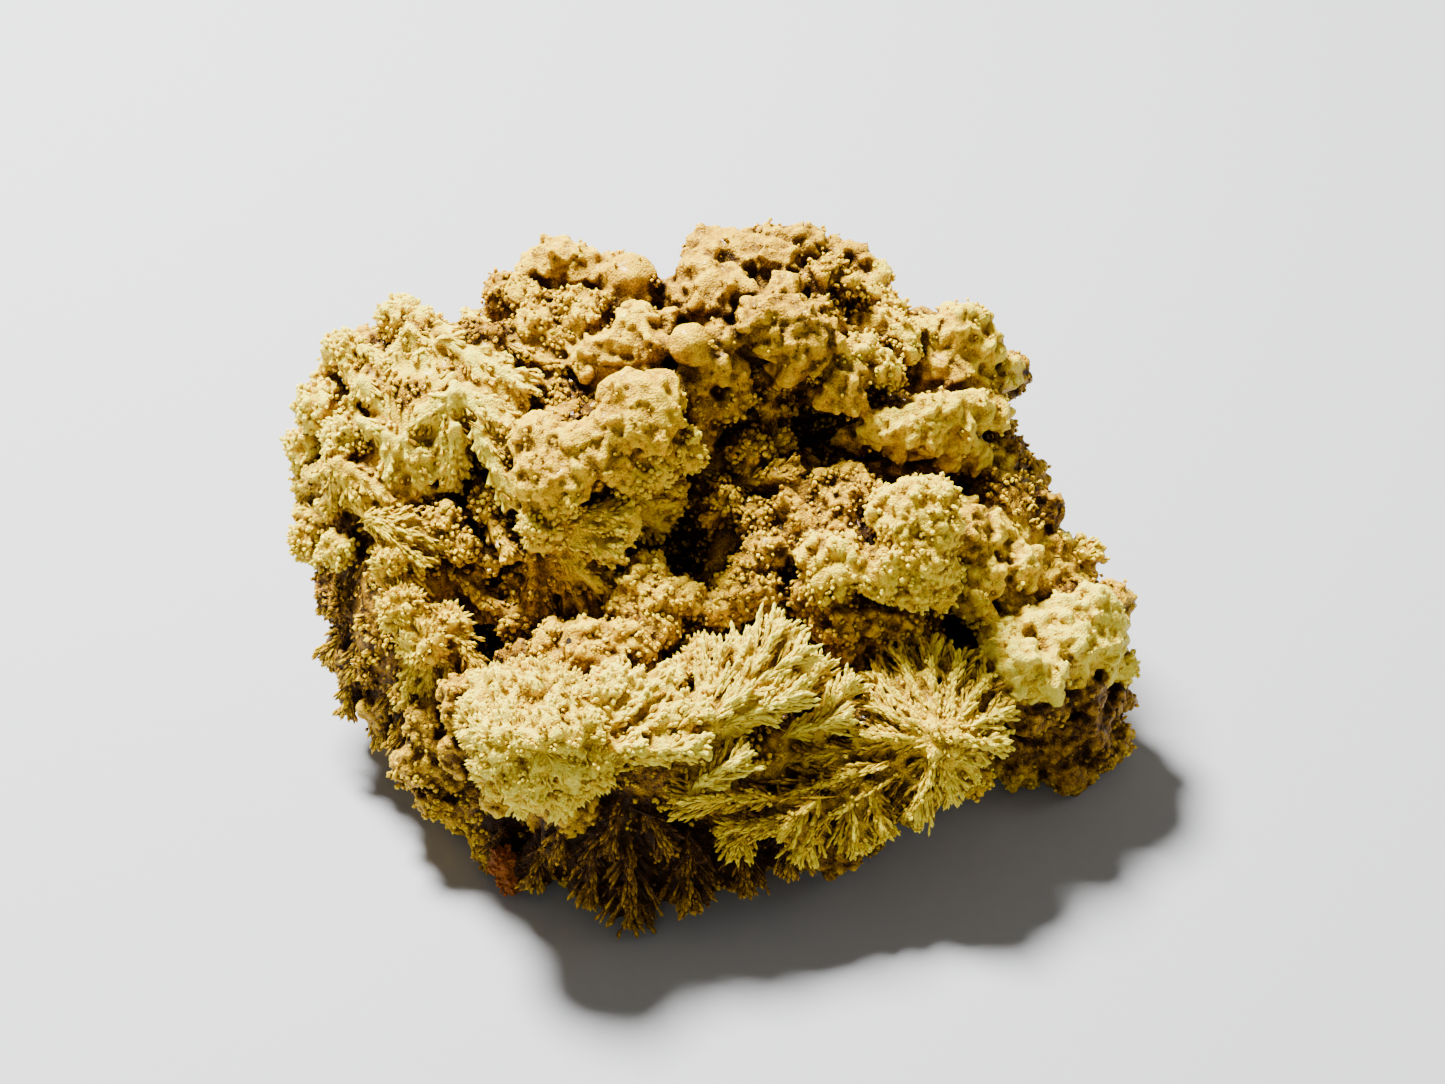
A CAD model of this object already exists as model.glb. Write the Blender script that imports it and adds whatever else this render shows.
"""Mimetite cluster, dressed: fans, plumes, knots, knobs and a sugary crust grown on one mass.

Lengths are in metres and the frame is the specimen's own. Places on the show face are lists of
across, rise and out, in millimetres: across runs along +X, rise up the face, away from the floor,
and out along the face's normal, away from the body.
"""
import math

import bmesh
import bpy
import numpy as np
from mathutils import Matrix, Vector, kdtree, noise
from mathutils.bvhtree import BVHTree


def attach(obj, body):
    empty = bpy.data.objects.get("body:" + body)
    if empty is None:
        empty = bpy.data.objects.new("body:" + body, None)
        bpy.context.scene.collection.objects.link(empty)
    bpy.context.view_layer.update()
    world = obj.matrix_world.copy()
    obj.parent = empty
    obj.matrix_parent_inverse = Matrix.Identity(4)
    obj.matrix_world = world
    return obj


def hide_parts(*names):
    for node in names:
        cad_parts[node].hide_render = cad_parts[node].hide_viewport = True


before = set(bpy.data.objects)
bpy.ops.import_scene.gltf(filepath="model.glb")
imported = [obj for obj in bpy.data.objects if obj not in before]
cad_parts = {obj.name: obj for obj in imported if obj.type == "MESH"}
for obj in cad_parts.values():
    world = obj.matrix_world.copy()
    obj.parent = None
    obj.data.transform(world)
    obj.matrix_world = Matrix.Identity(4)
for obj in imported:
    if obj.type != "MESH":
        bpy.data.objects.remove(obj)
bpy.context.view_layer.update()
BODY = "root"
NODE = "mimetite_cluster"

MM = 0.001
FACE_LIFT = math.radians(40)  # the show face's normal stands this far above the horizontal
FACE_HEIGHT = 13  # mm from the floor to the face's own origin
SEED = 7

# Every tone of the specimen: how dark, from cream 0 to brown 1, and how golden, from 0 to 1,
# with the rust of iron stain beyond that.
TONES = {
    "cream": (0.06, 0.05),
    "straw": (0.21, 0.45),
    "yellow": (0.31, 0.90),
    "gold": (0.46, 0.95),
    "tan": (0.38, 0.50),
    "amber": (0.50, 1.00),
    "umber": (0.70, 0.70),
    "shade": (0.88, 0.60),
    "rust": (0.55, 1.70),
}

# Crystals of each habit, in mm: radius and length of one, how many to a branch and how far they
# splay; thickness of a branch and the spacing of branches on a stem.
HABITS = {
    "finger": {"radius": 0.17, "length": 0.9, "tuft": 8, "splay": 0.20, "branch": 0.36, "spacing": 0.72},
    "needle": {"radius": 0.11, "length": 1.25, "tuft": 13, "splay": 0.17, "branch": 0.21, "spacing": 0.58},
    "stub": {"radius": 0.15, "length": 0.80, "tuft": 4, "splay": 0.50, "branch": 0.28, "spacing": 0.78},
}

# The masses under the crystals: across, rise, out, then the three radii in the same order.
LUMPS = [
    [-1, -1, -4, 17.5, 12, 6.3],  # heart
    [0, 5, -9.5, 15, 9.5, 6],  # back
    [-16.6, 4.4, -3.5, 5.6, 7.2, 6],  # west shoulder
    [-15, 7, 0, 4.6, 3.8, 3.4],  # west plateau
    [-16.4, -3.5, -3, 4.6, 7, 6.4],  # west flank
    [-8.1, 12.5, -3.8, 4.6, 3, 3.6],  # north-west crest
    [-6.5, 10.3, -0.5, 3.6, 2.6, 2.8],  # north-west shelf
    [2.6, 12.3, -4.5, 5.6, 4.2, 5],  # north crest
    [0.5, 10.5, -0.5, 5.4, 3.4, 3.4],  # north shelf
    [7.4, 10.8, -2.2, 2.6, 3, 3.4],  # east crest
    [12.8, 8.4, -5.6, 3.3, 4, 4.2],  # north-east lobe
    [10.5, 6.5, -1.8, 4.2, 2.8, 3],  # north-east step
    [14.8, 0.5, -3, 3.4, 4.6, 4.4],  # east flank
    [18.1, -4.1, -2.4, 3.8, 2.8, 3.2],  # east wing
    [15.8, -7, 0.6, 2.8, 2.4, 3.2],  # east dome
    [18.4, -9.4, -4, 3.4, 3.4, 3.8],  # east foot
    [-9.4, -10.2, 5, 4.4, 3.8, 4.6],  # ledge, west end
    [-1.7, -11.3, 4.5, 7, 3.4, 4.2],  # ledge, middle
    [8.8, -11, 3, 5.2, 3.4, 4],  # ledge, east end
    [-4, -16, 1.4, 6.5, 3.6, 4.4],  # front foot
    [-11.5, -13.6, -1, 4.2, 3.6, 4.2],  # west foot
    [4.5, -13.8, 2.4, 4.4, 2.6, 4.4],  # under the folded sheaf
    [-6.3, 5.3, 1.2, 5, 3.2, 3.8],  # yellow ridge
    [9.2, -0.4, 1.8, 3.8, 3.2, 3.4],  # east boss
    [7, -4.2, 0.4, 4.4, 2.6, 3],  # middle step
    [-6.2, -4.8, 0.2, 4.8, 3.2, 4.4],  # floor of the west hollow
    [-0.5, -8.5, -6, 14, 8, 8],  # stump, over the broken base
    [0, 3, -11.5, 13, 6.5, 4.5],  # back foot
]

# Hollows cut into the face before anything grows in them, in the same form.
PITS = [
    [-2.3, -0.2, 4.2, 2, 2.6, 4.6],  # middle
    [4.5, 6.1, 2, 2.4, 2, 4],  # under the north shelf
    [12.8, 3.1, 0, 1.5, 2.2, 3.4],  # east
    [12.6, -4.8, 2.5, 1.9, 1.7, 4.4],  # behind the rosette
    [-13, -3.7, 3, 2, 1.5, 3.4],  # west
    [0.4, -5.2, 4.4, 2, 1.4, 3.4],  # behind the fan
]

ROSETTE_HEART = [11.3, -10.4, 7.8]

# What grows on the masses, region by region.
#   knobs: round bodies            [across, rise, out, radius]
#   clumps: rough crystal knots    [across, rise, out, radius]
#   sprays: crystals side by side  [root, tip, half width], root and tip on the face
REGIONS = {
    "north_west_crest": {
        "tone": "yellow",
        "habit": "stub",
        "knobs": [
            [-9.9, 15.1, -2, 1.7], [-8.9, 15.5, -2, 1.8], [-7.6, 15.2, -1.5, 1.4], [-6.5, 14.7, -1, 1.3],
            [-4.7, 11.5, 2.4, 1.6], [-5.6, 10.2, 2.8, 1.5], [-6.9, 9.7, 2.8, 1.5],
            [-4.4, 10, 2.8, 1.3], [-12.5, 13.3, -3.5, 1.2],
        ],
        "clumps": [
            [-8.1, 12.9, 1, 1.2], [-6.7, 13, 1, 0.9], [-7.5, 11.9, 1.2, 1.3], [-10.6, 13.3, 0, 1],
            [-10, 11.8, 0.5, 1.5], [-8.9, 10.8, 1.2, 1], [-11.1, 13.8, -0.3, 0.9],
        ],
        "sprays": [
            [[-8.9, 13.3, -0.5], [-11.6, 14, -0.3], 0.9],
            [[-12.2, 11.7, 0], [-8.3, 10.7, 2], 1.3],
            [[-11.9, 10.8, 1], [-8.7, 9.4, 2.2], 1.3],
        ],
    },
    "north_crest": {
        "tone": "gold",
        "habit": "stub",
        "knobs": [
            [-0.7, 16.2, -1, 1.5], [1, 15.6, -0.5, 1.8], [2.4, 16, -0.7, 1.7], [-1, 14.9, 0.5, 1.6],
            [-0.1, 13.7, 1.5, 1.6], [-0.9, 12.8, 1.5, 1.9], [-1.7, 13.2, 1, 1.4], [2.9, 15.1, 0.5, 1.6],
            [4.3, 16.3, -1, 1.5], [6, 15.8, -1.5, 1.3], [7.6, 15.8, -1.5, 1], [1.5, 13.3, 2, 1],
            [3.4, 13.6, 2.2, 1.1], [-3.1, 11.7, 2.5, 1.1], [-3.6, 10.5, 3.4, 1.1],
            [-0.1, 10.7, 3.6, 1.3], [-0.5, 9.4, 3.6, 1.4], [-1.7, 8.4, 3.4, 1.2], [0.7, 9.1, 3, 1.1],
            [2.3, 11.6, 3.5, 1.8], [3.1, 12.4, 3.4, 1.4], [4.2, 11.6, 3.6, 1.5], [5, 10.8, 3.5, 1.5],
            [3.6, 10.3, 3.6, 1.5], [3.4, 9.3, 3, 1.2], [1.5, 11.1, 3, 1.2],
        ],
        "clumps": [
            [5.1, 14.3, 1, 1.1], [5.9, 14.9, 0.5, 1], [6.8, 14, 0.5, 1], [5.3, 12.6, 1.6, 1],
            [4.8, 9.6, 3.1, 1], [-1.5, 7.1, 2.6, 1.3], [0.1, 7.4, 2.5, 1.3], [1.1, 8, 2.2, 1],
        ],
        "sprays": [],
    },
    "amber_domes": {
        "tone": "gold",
        "habit": "stub",
        "domes": [[-5, 14.4, 0.3, 1.6], [-1.7, 10.5, 4.4, 1.3], [0.6, 15.9, -0.2, 1.4]],
        "knobs": [],
        "clumps": [],
        "sprays": [],
    },
    "north_east_edge": {
        "tone": "straw",
        "habit": "stub",
        "knobs": [
            [13.2, 11.7, -1.5, 1.9], [14.3, 10.8, -1.5, 1.6], [12.5, 10.7, -1.3, 1.3], [11.2, 11.5, -1, 1.2],
            [15.6, 9.6, -3, 1.4], [13.2, 9.3, -1.4, 1.4], [14.6, 8.5, -1.8, 1.4], [11.7, 9.6, -0.6, 1.2],
            [8.5, 6.1, 2, 1.3], [9.9, 6.1, 2, 1.3], [11.3, 6.8, 1.5, 1.4], [12.5, 7.2, 1, 1.3],
            [13.9, 7.3, 0, 1.3], [13, 6.1, 0.8, 1.2], [11.1, 5.5, 1.5, 1.1], [9.4, 5.1, 1.5, 1],
            [15.1, 7.1, -1, 1.1], [12.3, 4.7, 0.5, 1.1], [13.9, 4.8, -0.4, 1.2], [15.5, 4.5, -2, 1.4],
            [14.9, 2.9, -2, 1.5], [15.4, 1.5, -1.5, 1.4], [16.4, 1.5, -2, 1],
        ],
        "clumps": [
            [7.9, 14, -1, 1], [8.7, 13.3, -1, 1], [9, 11.9, 0, 1.1], [9.8, 11.3, 0.5, 1.1],
            [10, 10.5, 0.5, 1], [8.7, 14.8, -1.5, 0.9], [9.6, 12.7, -1, 0.9], [7.5, 10.4, 2, 1.2],
            [6.6, 9.8, 2.5, 1.2], [8.5, 9.6, 2, 1.2], [9.1, 8.9, 1.5, 0.9],
        ],
        "sprays": [],
    },
    "amber_nose": {
        "tone": "gold",
        "habit": "stub",
        "knobs": [
            [6.6, 8.7, 3, 1.2], [6, 7.9, 3, 1.2], [7.1, 7.6, 2.8, 1], [7, 5.6, 1, 1.1],
            [4.3, 4, 0, 1.2], [8.7, 3.7, 0, 1.3], [10, 3.4, 0, 1.4], [11.2, 4, -0.5, 1.1],
        ],
        "clumps": [],
        "sprays": [],
    },
    "east_side": {
        "tone": "straw",
        "habit": "finger",
        "knobs": [
            [13.2, 1.1, 1, 1.4], [14.3, 0.3, 1.5, 1.5], [13.1, -0.2, 2, 1.2], [15.5, -0.2, 0.5, 1.5],
            [16, -1.6, 1, 1.7], [14.2, -1.8, 2.5, 1.3], [13.6, -3.2, 2.6, 1.2], [15.7, -3.7, 1, 1.3],
            [15.1, 3.5, -1.5, 1.2],
        ],
        "clumps": [[12.9, -1.6, 2.5, 1], [13.9, -4.2, 2.2, 0.9]],
        "sprays": [
            [[15.9, -0.8, 0], [21.1, -0.8, -2.4], 1.4],
            [[16.2, -1.6, 0.5], [20.6, -2, -2], 1.2],
            [[15.1, -3.8, 1], [18.8, -1.3, -0.6], 1.2],
            [[17, -0.4, -0.5], [19.1, 0.2, -1.5], 1],
        ],
    },
    "east_rim": {
        "tone": "cream",
        "habit": "stub",
        "knobs": [
            [15.6, -4.8, 2, 1.2], [14.9, -5.3, 2.6, 1.2], [16.7, -4.6, 1.9, 1.3], [18.4, -4, 1.5, 1.4],
            [20.1, -3.8, 1, 1.6], [18.9, -5.4, 2, 1.5], [21, -4.4, 0.4, 1.4], [20.4, -5.7, 1.2, 1.4],
            [20.9, -6.3, 0, 1.3], [21.4, -4.9, -1, 1.2], [20.8, -6.9, 0, 1.2], [17.5, -5.4, 2.2, 1.3],
            [14.3, -6.4, 3.5, 1.3], [15.9, -6.6, 4, 1.6], [17.1, -7.2, 3.5, 1.5], [15.4, -7.4, 4, 1.3],
            [17.7, -8, 2.5, 1], [19.2, -7, 1.5, 0.9],
        ],
        "clumps": [[22, -6.9, -1.5, 1.2]],
        "sprays": [],
    },
    "east_foot": {
        "tone": "umber",
        "habit": "stub",
        "knobs": [
            [19.9, -8.4, 0.5, 1.3], [20.1, -9.9, -1.5, 1.7], [20.8, -10.5, -2, 1.1], [18.7, -11, -1.5, 1.3],
            [18, -11.7, -2, 1.1], [19.2, -13, -2, 1.2], [16.6, -9.5, 1.5, 1.2], [16.6, -11.3, -2, 1.4],
        ],
        "clumps": [[21, -11.8, -2.6, 1]],
        "sprays": [],
    },
    "yellow_ridge": {
        "tone": "yellow",
        "habit": "stub",
        "knobs": [
            [-9.7, 5.4, 5, 1.6], [-9.4, 3.3, 5.5, 1.9], [-7.8, 4.8, 5.5, 1.6], [-6.5, 5.3, 5.5, 1.5],
            [-5.1, 7.4, 5.5, 1.7], [-3.6, 7.7, 5.5, 1.6], [-3.8, 6.1, 5.5, 1.9], [-5.4, 6.1, 5.8, 1.6],
            [-6.5, 4.3, 5.5, 1.5], [-8, 3.5, 5.8, 1.6], [-9.3, 2.2, 5.2, 1.4], [-3.1, 7, 5.2, 1.3],
            [-5.4, 4.6, 5.2, 1.5],
        ],
        "clumps": [],
        "sprays": [
            [[-7.2, 3.5, 6.6], [-8, 1.9, 6.7], 0.6],
            [[-7.8, 3.2, 6.2], [-5.8, 4.2, 6.2], 0.8],
        ],
    },
    "west_plateau": {
        "tone": "cream",
        "habit": "finger",
        "knobs": [],
        "clumps": [
            [-22.2, 7.4, -1.2, 1.6], [-20.4, 6.2, 0.6, 1.3], [-23, 5.2, -3, 1.6], [-20.7, 5.3, 0.4, 1.4],
            [-17.9, 12.2, -1.4, 1.5], [-21, 10.6, -1.6, 1.3], [-16.4, 11.7, -0.6, 1.3],
        ],
        "sprays": [
            [[-21.3, 10.7, -1.2], [-22.9, 8.1, -3.2], 0.9],
            [[-21.1, 10.6, -0.8], [-19.9, 8.2, 0], 0.8],
            [[-17.1, 11.5, 1.2], [-18.2, 8.9, 1.4], 0.8],
            [[-17, 11.3, 1.6], [-17.4, 8.8, 1.2], 0.7],
            [[-16.9, 11.3, 1.6], [-14.9, 9.5, 1.8], 0.8],
            [[-19.7, 10.5, 0.6], [-17.6, 9.2, 1.6], 0.9],
            [[-19.5, 8.7, 1.8], [-17.6, 6.2, 2], 1.1],
            [[-19.7, 8.6, 1.4], [-20.6, 6.7, 0.8], 0.7],
            [[-16.4, 10.1, 2], [-17.3, 7.7, 1.6], 0.8],
            [[-16.2, 9.9, 2], [-15.3, 7.9, 2.4], 0.8],
            [[-14.6, 8.8, 3.2], [-15.7, 6.2, 2.6], 0.8],
            [[-14.9, 10.8, 2], [-10.2, 8, 3.2], 1.2],
            [[-14.2, 8.2, 4.2], [-10.3, 4.8, 4.6], 1.4],
            [[-14.4, 7.8, 4.4], [-15, 3.8, 3], 1],
            [[-14.6, 7.7, 4.2], [-16.9, 5.9, 3], 0.9],
            [[-19.5, 6.5, 2.2], [-15.6, 4.3, 3.2], 1.1],
            [[-17.1, 5.5, 3.2], [-16.2, 2.9, 2.6], 1],
            [[-14.2, 6, 4.4], [-14.6, 3, 2.8], 1],
            [[-13, 5.9, 4.8], [-11, 2.3, 4.8], 0.9],
            [[-15.5, 11.7, 0.4], [-12, 9.6, 2.2], 0.9],
            [[-14.2, 12.7, -1.5], [-12.4, 10.7, 1], 0.8],
            [[-13.6, 9.8, 2.8], [-11.7, 6.5, 3.4], 1],
            [[-18.2, 5.5, 2.6], [-17.7, 3, 2.4], 0.9],
        ],
    },
    "west_edge": {
        "tone": "straw",
        "habit": "finger",
        "knobs": [],
        "clumps": [[-23, 0.1, -3, 1.4], [-22, -0.8, -2.2, 1.1], [-20.9, -0.4, 0.4, 1.2]],
        "sprays": [
            [[-21.5, 3.2, -1], [-24, 3.1, -3.2], 0.9],
            [[-21.5, 1.5, -1], [-24, 1.7, -3.2], 0.8],
            [[-20.8, 4.2, 2.2], [-21.6, 1.2, 0], 1],
            [[-20.8, 4.1, 2.2], [-19.5, 1.9, 2.2], 1],
            [[-21, 4.1, 2], [-23.1, 3.4, -1.6], 0.8],
            [[-20.1, 3.9, 2.2], [-17.6, 1.9, 2.6], 1.1],
        ],
    },
    "west_rosette": {
        "tone": "straw",
        "habit": "needle",
        "knobs": [],
        "clumps": [
            [-17.9, -1.2, 4, 1], [-15.8, -5.3, 4.4, 1.5], [-17.1, -3.6, 4.2, 1.5], [-14.7, -4.4, 3.8, 1.2],
        ],
        "sprays": [
            [[-19, 1.3, 4.2], [-15.9, 1.1, 3.2], 0.8],
            [[-19, 1.3, 4.2], [-14.5, -0.4, 3.5], 1.1],
            [[-18.7, 1.1, 4.2], [-16, -1.3, 4], 1.2],
            [[-18.3, -0.2, 4], [-17.4, -1.6, 4], 0.8],
            [[-17.2, -0.9, 3.8], [-16.3, -5.3, 4.2], 1.6],
            [[-16.3, -3.6, 4.2], [-13.6, -5.5, 4.5], 1.4],
            [[-14.2, -5.2, 4.4], [-12.8, -7, 4.8], 0.8],
            [[-14.8, -5.8, 4], [-13.8, -8.7, 4.4], 0.8],
            [[-15.4, -5.8, 3.7], [-15.7, -8.6, 3.2], 0.9],
            [[-16, -5.8, 3.4], [-17.3, -8.9, 2.2], 1],
            [[-13.4, -6.8, 4.5], [-12.1, -7.9, 5.2], 0.7],
        ],
    },
    "west_fringe": {
        "tone": "umber",
        "habit": "needle",
        "knobs": [],
        "clumps": [[-20.7, -3.2, -1, 1.2], [-19.1, -6.8, 0, 1.2], [-16.9, -8, 1.4, 1.2]],
        "sprays": [
            [[-20.8, -0.8, -1], [-22.2, -4.1, -2.4], 1.2],
            [[-20.3, -1, 0.2], [-20.8, -4.4, -0.8], 1.1],
            [[-19.4, -1, 1.2], [-19.1, -4.3, 0.8], 1.2],
            [[-18.2, -2.4, 2.2], [-18.3, -5.4, 1.2], 1],
            [[-20.3, -3.8, -0.8], [-22.1, -6.9, -2.4], 1.2],
            [[-19.6, -4.9, 0.2], [-20.6, -7.7, -1], 1],
            [[-19.2, -4.9, 0.8], [-18.4, -7.6, 0.8], 1.2],
            [[-17.5, -5.9, 1.8], [-17.9, -9.2, 0.8], 1.2],
            [[-20.3, -6.6, -1.4], [-21, -9.6, -2], 1],
            [[-18.9, -8.2, -0.6], [-18.7, -11.3, -1], 1.3],
            [[-17.3, -9.4, 1], [-17.6, -12, 0.4], 1.2],
        ],
    },
    "west_foot": {
        "tone": "amber",
        "habit": "stub",
        "knobs": [],
        "clumps": [
            [-15.5, -9.8, 3, 1.8], [-15.8, -11.8, 2.6, 1.8], [-17, -12, 1.2, 1.3], [-13.7, -10.5, 3.4, 1],
            [-14.5, -12.6, 2, 1.2], [-15.4, -13.9, 1, 1.4], [-14.2, -14.8, 0.6, 1.3],
            [-12.6, -16.3, 1.2, 1.4], [-16.9, -12.3, -0.8, 1.1],
        ],
        "sprays": [],
    },
    "front_hangings": {
        "tone": "shade",
        "habit": "needle",
        "knobs": [],
        "clumps": [],
        "sprays": [
            [[-4.9, -15, 6.4], [-4.8, -20.5, 5.6], 1.8],
            [[-6.8, -15.4, 5.8], [-7, -19.3, 5], 1.8],
            [[-8.5, -14.3, 6], [-8.6, -16.8, 5.6], 1.5],
            [[-5.2, -13.1, 7.2], [-6, -16.2, 6.6], 1.3],
            [[-9.4, -16.1, 4.6], [-10.4, -18.4, 3.8], 1.5],
            [[-3.8, -14.2, 7.2], [-2.8, -16.1, 7.2], 1.2],
            [[-11.9, -15.5, 3], [-12.6, -17.9, 2], 1.5],
            [[-1.8, -15.2, 6], [-1.8, -19.4, 6], 1.8],
            [[1, -15.2, 5.4], [1.2, -18.4, 5.6], 1.6],
            [[3.6, -14.8, 5.6], [3.6, -17.4, 5.8], 1.5],
        ],
    },
    "rust_patches": {
        "tone": "rust",
        "habit": "stub",
        "knobs": [],
        "clumps": [[-11.7, -17.1, 3.2, 0.9], [-11.4, -18.2, 2.8, 0.8]],
        "sprays": [],
    },
    "gold_west": {
        "tone": "gold",
        "habit": "finger",
        "knobs": [],
        "clumps": [
            [-15, 0.9, 2.8, 1.3], [-14.1, -0.2, 3, 1.2], [-12.6, 2, 2.6, 1.2], [-10.9, -4.5, 2.6, 1.3],
            [-8.8, 7.9, 1.6, 1.4], [-8.5, 6.8, 2.2, 1.4], [-11, -2.3, 2, 1.2],
        ],
        "sprays": [
            [[-12.4, 1.2, 3.2], [-11.2, -0.6, 4.6], 0.8],
            [[-15.3, -1, 2.2], [-12.2, -3.8, 3.2], 1.4],
            [[-14.8, -0.2, 2.2], [-12.4, -1.1, 3.2], 1.1],
            [[-10.1, -0.2, 4.6], [-10.2, -3.8, 3.4], 0.8],
            [[-9.5, 0.1, 4.4], [-7.1, -4.2, 4.2], 1],
            [[-9.7, -1, 4], [-9.1, -4.1, 3.4], 0.8],
        ],
    },
    "fingers": {
        "tone": "straw",
        "habit": "finger",
        "knobs": [],
        "clumps": [
            [-9.4, 0.9, 4.6, 1.7], [-8.6, 2.2, 5.2, 1.4], [-3.8, 4.3, 4.5, 1.6], [-2.2, 4.9, 4, 1.4],
            [-4.9, 3.4, 4.8, 1.3],
        ],
        "sprays": [
            [[-8.6, 1.5, 5.2], [-4.8, 1.4, 5.6], 1],
            [[-8.6, 0.9, 5.2], [-4.8, 0.6, 5.6], 1],
            [[-8.6, 0.1, 4.8], [-5.4, -0.5, 5.6], 1],
            [[-8.9, -0.4, 4.4], [-6.2, -2.6, 4.6], 1.2],
            [[-9.2, 0.5, 4.6], [-7.8, -2.1, 4.2], 1.2],
            [[-6.4, 2.8, 4.4], [-2.4, 1.9, 3], 1.5],
            [[-4.4, 3.5, 4.4], [-2.2, 2.7, 3.2], 1.2],
            [[-6, 2.2, 4.2], [-3, 0.8, 2.6], 1.3],
        ],
    },
    "cauliflower": {
        "tone": "yellow",
        "habit": "stub",
        "knobs": [],
        "clumps": [
            [-8.6, -5.5, 5, 1.7], [-7, -5.7, 6, 1.8], [-5.1, -5.2, 6.2, 1.5], [-4.2, -5.8, 6.4, 1],
            [-8.6, -7, 5.6, 1.6], [-6.4, -6.6, 6.4, 1.4], [-4.5, -6.7, 6.2, 1.2], [-3.9, -1.8, 4, 1.5],
            [-4.4, -2.6, 4.6, 1.5], [-3, -3.1, 5, 1.4], [-3.8, -3.6, 5.2, 1.3], [-1.9, -2.9, 4.6, 1.2],
            [-5.2, -3.7, 4.6, 1.3], [-3.3, -4.7, 5.4, 1.3], [-0.3, -3.6, 4.2, 1.2], [0.4, -2.6, 3.8, 1.2],
        ],
        "sprays": [],
    },
    "deep_centre": {
        "tone": "amber",
        "habit": "finger",
        "knobs": [],
        "clumps": [
            [1.5, 4.7, 1.6, 1.5], [0.2, 2.3, 2.5, 1.2], [1.8, 1.2, 3, 1.2], [2.9, 7.3, 0.2, 1.3],
            [2.6, 8.6, 0.8, 1.2],
        ],
        "sprays": [
            [[1.2, 3.9, 1.6], [3.4, 5.8, 1.8], 1.6],
            [[0.9, 3.2, 2.2], [3.9, 3.5, 3.2], 1.2],
            [[0.5, 4.9, 1.2], [-1.3, 4.6, 1.8], 1.3],
            [[1.2, 2.3, 2.2], [2.3, 0.6, 3.2], 1.3],
            [[1, 2, 2.2], [-0.8, 1.3, 3], 1.1],
            [[0.7, 0.1, 1.8], [-0.6, -2.3, 2.2], 0.9],
        ],
    },
    "gold_centre": {
        "tone": "gold",
        "habit": "stub",
        "knobs": [],
        "clumps": [
            [2.3, -0.4, 3.4, 1.4], [3.3, -0.2, 3.4, 1.2], [1.5, -1.8, 3.4, 1.5], [0.7, -3.1, 3.8, 1.4],
            [2.1, -2.6, 3.8, 1.4], [3.7, 1.9, 3, 1.2], [4.5, 0.9, 3.4, 1.2], [5.6, 2.8, 2.6, 1.4],
            [6.7, 3.3, 2.6, 1.2], [6.4, 1.7, 3.6, 1.4], [7.4, 2.5, 3.4, 1.3], [6.1, 0.6, 4, 1.3],
            [4.7, -2.9, 3.8, 1.4], [6.3, -4.2, 4, 1.9], [6.9, -5.8, 3.6, 1.5], [7.9, -4.2, 4, 1.5],
            [9.6, -4.2, 3.6, 1.7], [10.7, -5.3, 2.6, 1.4], [8.8, -5.4, 3.4, 1.3],
        ],
        "sprays": [[[7, 1.2, 4.4], [7.4, -0.6, 5.2], 0.7]],
    },
    "east_mass": {
        "tone": "straw",
        "habit": "stub",
        "knobs": [],
        "clumps": [
            [8.9, 1.6, 5.5, 1.6], [10.1, 1.8, 5.8, 1.8], [11.2, 2.1, 5.6, 1.5], [11, 0.8, 6, 1.7],
            [9.4, 0.6, 5.8, 1.6], [11.5, 0.3, 5.6, 1.2], [9.3, -1, 6, 1.6], [10.7, -1, 6, 1.6],
            [11.5, -1.5, 5.4, 1.2], [8.3, -1.8, 5.8, 1.5], [9.9, -2.3, 5.6, 1.5], [7.3, -1.3, 5.4, 1.4],
            [11.3, -2.5, 4.8, 1.3], [6.5, -1, 5.4, 1.8], [5.2, -0.7, 4.8, 1.5], [5.7, -2.1, 5, 1.6],
        ],
        "sprays": [],
    },
    "ledge_blob": {
        "tone": "cream",
        "habit": "needle",
        "knobs": [],
        "clumps": [
            [-11.4, -8.2, 9, 2], [-9.9, -7.9, 9, 2], [-8.4, -8.2, 9, 1.8], [-12.1, -9.4, 9.2, 1.7],
            [-10.6, -9.9, 10.2, 2.2], [-9, -10.1, 10.6, 2.2], [-11.1, -11.4, 9.8, 1.8],
            [-9.8, -11.9, 10.2, 1.8], [-7.5, -9.9, 10.2, 1.8], [-6.8, -11.3, 9.8, 1.6],
            [-7.8, -12.2, 9.8, 1.5],
        ],
        "sprays": [
            [[-10.3, -11.9, 9.8], [-10.4, -13.8, 9.6], 1],
            [[-8.4, -11.9, 9.8], [-8.3, -14, 9.6], 1],
            [[-7.5, -11.4, 10], [-6, -11.2, 10.6], 1],
            [[-10.4, -10.3, 12], [-12.6, -9.3, 11.2], 1],
            [[-10.4, -10.4, 12], [-11.8, -11.7, 11.4], 0.9],
            [[-10.2, -10.2, 12], [-10.9, -8.1, 11.4], 0.9],
            [[-9.3, -10.5, 12.2], [-9.6, -12.7, 11.6], 0.9],
            [[-9, -10.4, 12.2], [-7.3, -11.9, 11.6], 0.9],
            [[-9, -10.2, 12.2], [-7, -9.6, 11.6], 0.9],
            [[-9.4, -9.9, 12.2], [-8.7, -8, 11.2], 0.9],
        ],
    },
    "ledge_plumes": {
        "tone": "cream",
        "habit": "finger",
        "knobs": [],
        "clumps": [[-5.8, -7.6, 8.2, 1.5], [-6.8, -8.6, 8.8, 1.6]],
        "sprays": [
            [[-6.8, -10.2, 9.6], [-3.6, -7.7, 9], 1.8],
            [[-5.7, -10.4, 9.4], [-1.6, -8.2, 9.4], 1.6],
            [[-6.3, -9.3, 9], [-4.3, -6.9, 8.4], 1.5],
            [[-4.3, -8.4, 8.8], [-2.4, -6.8, 8.6], 1.3],
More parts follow.
